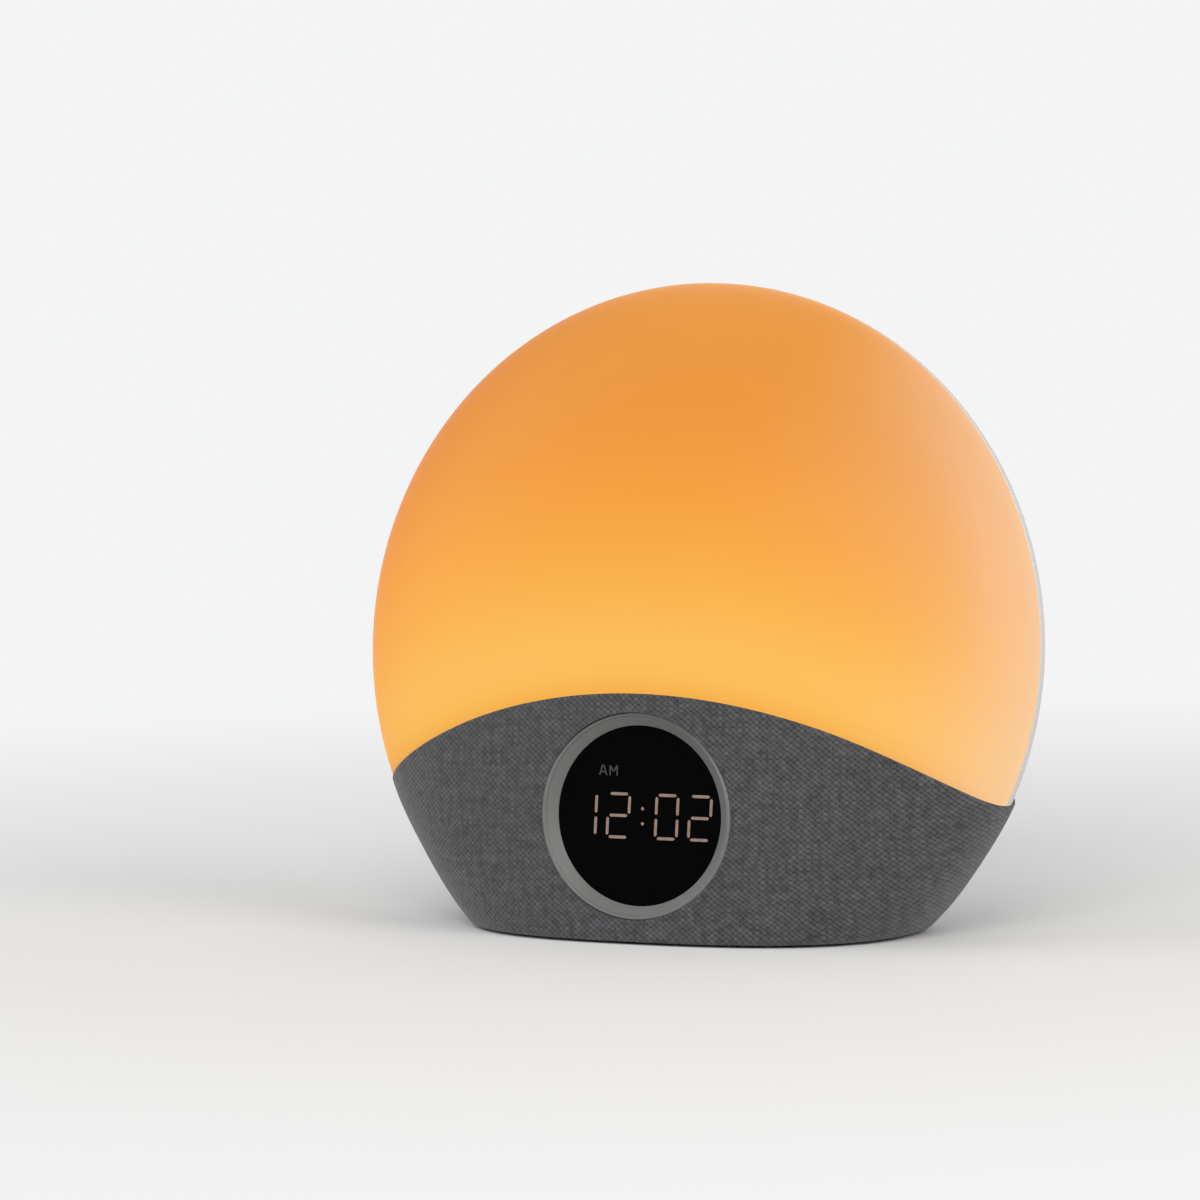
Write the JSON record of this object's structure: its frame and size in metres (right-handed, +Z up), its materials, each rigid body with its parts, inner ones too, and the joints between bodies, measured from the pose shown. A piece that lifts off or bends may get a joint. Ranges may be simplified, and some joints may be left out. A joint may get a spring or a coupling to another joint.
{
  "type": "sunrise alarm clock",
  "caption": "Sunrise alarm clock: a round glowing dome leaning back on a fabric-covered base with a small round digital display, speaker grille and push keys behind.",
  "frame": {"origin": "on the table, under the middle of the clock", "axes": "+Z up, +Y towards the clock's back, +X to the right as seen from the front"},
  "size_m": [0.18, 0.0787, 0.1585],
  "materials": {
    "opal_dome": "opal satin plastic lit from inside in warm amber",
    "white_plastic": "satin white moulding",
    "shell_plastic": "fine matt texture, warm light grey",
    "black_plastic": "fine matt texture",
    "woven_fabric": "grey heather twill, close woven",
    "bezel_plastic": "satin grey moulding with a slightly brighter lip",
    "display_glass": "polished black lens",
    "lit_digits": "light guides lit in dim warm white",
    "foam": "closed-cell foam",
    "circuit_board": "solder-masked board",
    "screw_steel": "zinc-plated",
    "led_package": "lamp package with phosphor",
    "foot_rubber": "matt rubber",
    "cell_steel": "nickel-plated",
    "chip_plastic": "moulded epoxy",
    "capacitor_aluminium": "plain can",
    "basket_steel": "pressed steel, dark",
    "magnet_steel": "sintered magnet and pole piece",
    "coil_copper": "copper wire winding",
    "cone_paper": "pressed paper",
    "key_plastic": "matt key, a little darker than the shell"
  },
  "bodies": {
    "clock_body": {"light_dome": "opal_dome", "reflector": "white_plastic", "rear_shell": "shell_plastic", "base_shell": "black_plastic", "fabric_sleeve": "woven_fabric", "light_deck": "white_plastic", "display_bezel": "bezel_plastic", "display_window": "display_glass", "digit_light_guides": "lit_digits", "display_gasket": "foam", "display_light_shield": "black_plastic", "display_board": "circuit_board", "display_screws": "screw_steel", "digit_leds": "led_package", "bottom_plate": "black_plastic", "rubber_feet": "foot_rubber", "bottom_screws": "screw_steel", "battery_door": "black_plastic", "battery_door_screw": "screw_steel", "battery_holder": "white_plastic", "coin_cell": "cell_steel", "battery_contact": "cell_steel", "main_board": "circuit_board", "main_board_screws": "screw_steel", "board_chips": "chip_plastic", "board_capacitors": "capacitor_aluminium", "board_connectors": "white_plastic", "dc_socket": "black_plastic", "dc_socket_pin": "cell_steel", "socket_panel": "shell_plastic", "led_strip": "white_plastic", "led_chips": "led_package", "speaker_gasket": "foam", "speaker_basket": "basket_steel", "speaker_magnet": "magnet_steel", "voice_coil": "coil_copper", "speaker_cone": "cone_paper", "speaker_surround": "foot_rubber", "speaker_dust_cap": "cone_paper", "shell_screws": "screw_steel", "key_board": "circuit_board", "key_board_screws": "screw_steel", "tact_switches": "chip_plastic"},
    "light_key": {"light_key": "key_plastic"},
    "sound_key": {"sound_key": "key_plastic"},
    "alarm_key": {"alarm_key": "key_plastic"},
    "minus_key": {"minus_key": "key_plastic"},
    "plus_key": {"plus_key": "key_plastic"},
    "snooze_key": {"snooze_key": "key_plastic"}
  },
  "joints": [
    {"name": "light_press", "type": "slide", "parent": "clock_body", "child": "light_key", "axis": [0, -0.9941, 0.1089], "range_m": [0, 0.0008], "stiffness_N_per_m": 500, "springref_m": -0.0008},
    {"name": "sound_press", "type": "slide", "parent": "clock_body", "child": "sound_key", "axis": [0, -0.9941, 0.1089], "range_m": [0, 0.0008], "stiffness_N_per_m": 500, "springref_m": -0.0008},
    {"name": "alarm_press", "type": "slide", "parent": "clock_body", "child": "alarm_key", "axis": [0, -0.9941, 0.1089], "range_m": [0, 0.0008], "stiffness_N_per_m": 500, "springref_m": -0.0008},
    {"name": "minus_press", "type": "slide", "parent": "clock_body", "child": "minus_key", "axis": [0, -0.9941, 0.1089], "range_m": [0, 0.0008], "stiffness_N_per_m": 500, "springref_m": -0.0008},
    {"name": "plus_press", "type": "slide", "parent": "clock_body", "child": "plus_key", "axis": [0, -0.9941, 0.1089], "range_m": [0, 0.0008], "stiffness_N_per_m": 500, "springref_m": -0.0008},
    {"name": "snooze_press", "type": "slide", "parent": "clock_body", "child": "snooze_key", "axis": [0, -0.9941, 0.1089], "range_m": [0, 0.0008], "stiffness_N_per_m": 500, "springref_m": -0.0008}
  ]
}
